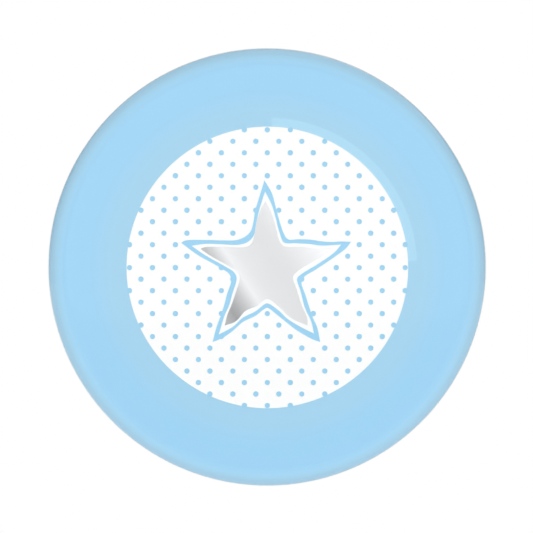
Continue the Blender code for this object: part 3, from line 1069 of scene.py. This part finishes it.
def makeCoil():
    ends = [coilX + wire["tongue"], coilX + wire["tongueStart"]]
    endRadii = [wireRadius * wire["tongueShare"]] * 2
    places = [Vector((x, spineY, spineZ)) for x in ends]
    radii = list(endRadii)
    for step in range(wire["coilSteps"] + 1):
        share = step / wire["coilSteps"]
        swing = unit(math.pi / 2 + math.tau * wire["coilTurns"] * share) * wire["coilRadius"]
        rise = share * share * (3 - 2 * share) * (needleY - spineY)
        places.append(Vector((coilX + swing.x, spineY + rise, coilZ + swing.y)))
        radii.append(wireRadius)
    places += [Vector((x, needleY, needleZ)) for x in ends[::-1]]
    return sweepWire("coil_wire", places, radii + endRadii, wireNickel)


def makeNeedle():
    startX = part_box("pin_needle")[1][0] - wire["taper"]
    places = [Vector((coilX, needleY, needleZ))]
    radii = [wireRadius]
    for step in range(wire["taperSteps"] + 1):
        share = step / wire["taperSteps"]
        places.append(Vector((startX + wire["taper"] * share, needleY, needleZ)))
        radii.append(wireRadius + (wire["tip"] - wireRadius) * share ** wire["taperPower"])
    return sweepWire("needle_wire", places, radii, needleSteel)


spine = makeSpine()
coil = makeCoil()
needle = makeNeedle()
print("the pin's wire is bent")


# The clasp

clasp = {
    "thickness": 0.25 * mm,
    "play": 0.10 * mm,  # each side of the needle
    "lip": 0.70 * mm,  # the mouth runs this far past it
    "gap": 0.05 * mm,  # round the spine
    "bend": 0.40 * mm,
    "bendSteps": 8,
    "foldSteps": 24,
    "edgeRound": 0.05 * mm,
    "edgeSegments": 2,
    "edgeAngle": math.radians(60),
}


def tangentAngle(point, centre, radius, side):
    away = point - centre
    return math.atan2(away.y, away.x) + side * math.acos(radius / away.length)


def makeClasp():
    low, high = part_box("pin_clasp")
    thickness = clasp["thickness"]
    foldRadius = wireRadius + clasp["gap"] + thickness / 2
    halfMouth = wireRadius + clasp["play"] + thickness / 2
    fold = Vector((spineY, spineZ))
    frontKnee = Vector((needleY - halfMouth, needleZ + 2 * halfMouth))
    backKnee = Vector((needleY + halfMouth, needleZ + 3 * halfMouth))
    start = tangentAngle(frontKnee, fold, foldRadius, -1)
    end = tangentAngle(backKnee, fold, foldRadius, 1)
    while start > end:
        start -= math.tau
    start += math.tau
    over = [fold + foldRadius * unit(start + (end - start) * step / clasp["foldSteps"])
            for step in range(clasp["foldSteps"] + 1)]
    mouthZ = needleZ - clasp["lip"]
    front = bendPath([Vector((frontKnee.x, mouthZ)), frontKnee, over[0]],
                     clasp["bend"], clasp["bendSteps"])
    back = bendPath([over[-1], backKnee, Vector((backKnee.x, mouthZ))],
                    clasp["bend"], clasp["bendSteps"])
    outline = sheetOutline(front + over[1:-1] + back, thickness)
    mesh = extruded([(low[0], y, z) for y, z in outline], (high[0] - low[0], 0, 0))
    piece = makePiece("clasp_fold", mesh, build["sheetSharp"], claspNickel)
    rounding = piece.modifiers.new("rounding", "BEVEL")
    rounding.width = clasp["edgeRound"]
    rounding.segments = clasp["edgeSegments"]
    rounding.limit_method = "ANGLE"
    rounding.angle_limit = clasp["edgeAngle"]
    return piece


claspPiece = makeClasp()
print("the clasp is folded")


# What rides on what

for piece, body, nodeName, slotName in (
        (film, "badge", "clear_film", "clear_film"),
        (paper, "badge", "printed_paper", "printed_paper"),
        (shell, "badge", "front_shell", "tinplate_shell"),
        (starFoil, "badge", "foil_star", "silver_foil"),
        (backPlate, "badge", "back_plate", "tinplate_back"),
        (spine, "pin_frame", "pin_spine", "pin_wire"),
        (claspPiece, "pin_frame", "pin_clasp", "clasp_sheet"),
        (needle, "needle", "pin_needle", "pin_wire")):
    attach(piece, body)
    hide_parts(nodeName)
for piece in (starLine, starBorder, dotInk):
    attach(piece, "badge")
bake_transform(coil)
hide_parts("spring_coil")


# Floor, light and camera

studio = {
    "before": 0.985,  # light from the front half of the room, and from behind
    "behind": 0.60,
    "band": [(0.0, 0.9), (0.12, 0.5), (0.34, 0.38), (0.5, 1.1), (0.8, 0.95)],  # height and tone
    "bandFade": (0.1, 0.6),  # how far back in the room the band comes in
    "lights": {"front": ((0.0, -0.8, 0.02), 0.9, 1.25),    # place, size and power
               "back": ((0.25, 0.35, 0.6), 0.6, 0.28)},
    "floorDrop": 15 * mm,  # the badge is held up, as it is when worn
    "floorHalf": 0.6,
    "floorCells": 8,
    "floorTones": (srgb(244, 244, 244), srgb(236, 236, 236)),
    "floorClouds": (0.02, 3),  # scale per mm and detail
    "floorShare": 0.2,
    "floorRoughness": 0.7,
    "floorGlow": 0.25,  # the floor is lit through, like a light table
    "viewWidth": 70.59 * mm,
    "viewStart": 0.01,
    "cameraPlace": (-0.086 * mm, -0.4, 0.080 * mm),
}


def makeFloor():
    bm = bmesh.new()
    cells = studio["floorCells"]
    bmesh.ops.create_grid(bm, x_segments=cells, y_segments=cells, size=studio["floorHalf"])
    bmesh.ops.translate(bm, verts=bm.verts, vec=(0, 0, cadBox[0][2] - studio["floorDrop"]))
    mesh = bpy.data.meshes.new("floor")
    bm.to_mesh(mesh)
    bm.free()
    shade = newMaterial("floorPaint")
    clouds = shade.noise(shade.place(), *studio["floorClouds"])
    tone = shade.stain(clouds, studio["floorShare"], *studio["floorTones"])
    mesh.materials.append(shade.principled(tone, studio["floorRoughness"], Emission_Color=grey(1),
                                           Emission_Strength=studio["floorGlow"]))
    addObject("floor", mesh)


def areaLight(name, place, size, power):
    data = bpy.data.lights.new(name, "AREA")
    data.shape = "SQUARE"
    data.size = size
    data.energy = power
    light = addObject(name, data)
    light.location = place
    light.rotation_euler = (-Vector(place)).to_track_quat("-Z", "Y").to_euler()


def makeWorld():
    # white to the eye; as light, bright before the badge and dimmer behind it
    world = bpy.data.worlds.new("studio")
    bpy.context.scene.world = world
    shade = Shading(world, "ShaderNodeOutputWorld")
    parts = shade.parts(shade.node("ShaderNodeTexCoord").outputs["Generated"])
    strength = shade.spread(parts["Y"], -1, 1, studio["before"], studio["behind"])
    # a dark band round the back of the room gives the metal something to reflect
    stops = [(height, grey(tone)) for height, tone in studio["band"]]
    band = shade.ramp(parts["Z"], stops, "EASE")
    colour = shade.blend(shade.spread(parts["Y"], *studio["bandFade"]), grey(1), band)
    lit = shade.node("ShaderNodeBackground", {"Color": colour, "Strength": strength})
    seen = shade.node("ShaderNodeBackground", {"Color": grey(1)})
    eye = shade.node("ShaderNodeLightPath").outputs["Is Camera Ray"]
    feeds = {0: eye, 1: lit.outputs[0], 2: seen.outputs[0]}
    shade.finish(shade.node("ShaderNodeMixShader", feeds))


def makeCamera():
    data = bpy.data.cameras.new("camera")
    data.type = "ORTHO"
    data.ortho_scale = studio["viewWidth"]
    data.clip_start = studio["viewStart"]
    camera = addObject("camera", data)
    camera.location = studio["cameraPlace"]
    camera.rotation_euler = (math.pi / 2, 0, 0)
    bpy.context.scene.camera = camera


makeFloor()
makeWorld()
for name, settings in studio["lights"].items():
    areaLight(name, *settings)
makeCamera()
bpy.context.scene.view_settings.view_transform = "Standard"
print("floor, lights and camera are placed")
